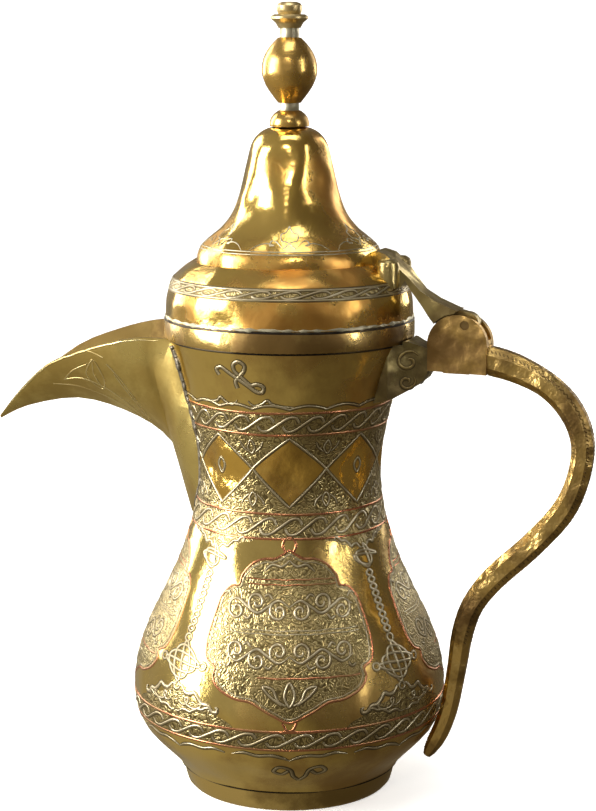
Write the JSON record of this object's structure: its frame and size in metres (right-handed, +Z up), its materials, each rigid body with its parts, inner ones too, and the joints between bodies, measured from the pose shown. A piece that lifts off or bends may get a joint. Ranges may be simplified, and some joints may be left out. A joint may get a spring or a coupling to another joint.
{
  "type": "dallah coffee pot",
  "caption": "Engraved brass Arabic coffee pot with a turned body, open beak spout, S-shaped handle and a hinged domed lid with a finial.",
  "frame": {"origin": "centre of the foot ring's opening on the table plane, on the pot's turned centre line", "axes": "+Z up along the centre line, beak towards -X, handle towards +X, hinge pin along Y"},
  "size_m": [0.2423, 0.1208, 0.3],
  "materials": {
    "aged_brass": "satin, patinated",
    "chased_brass": "chased and polished, dark patina in the engraving",
    "sheet_brass": "satin",
    "cast_brass": "cast, worn satin",
    "polished_brass": "polished, hand hammered",
    "rivet_brass": "satin",
    "tinned_brass": "dull, tin-coloured"
  },
  "bodies": {
    "pot": {"foot_ring": "aged_brass", "base_disc": "aged_brass", "bowl": "chased_brass", "upper_shell": "chased_brass", "beak": "sheet_brass", "handle_lug": "cast_brass", "lug_rivets": "rivet_brass", "hinge_block": "cast_brass", "handle": "cast_brass", "hinge_pin": "rivet_brass"},
    "lid": {"lid_band": "polished_brass", "lid_collar": "aged_brass", "lid_dome": "polished_brass", "lid_bell": "polished_brass", "lid_arm": "cast_brass", "arm_rivets": "rivet_brass", "stem": "tinned_brass", "stem_washer": "aged_brass", "finial_bead": "polished_brass", "finial_bulb": "polished_brass", "finial_collar": "aged_brass", "finial_cap": "aged_brass"}
  },
  "joints": [
    {"name": "lid_hinge", "type": "hinge", "parent": "pot", "child": "lid", "pos_m": [0.07, 0, 0.1831], "axis": [0, 1, 0], "range_deg": [0, 100]}
  ]
}
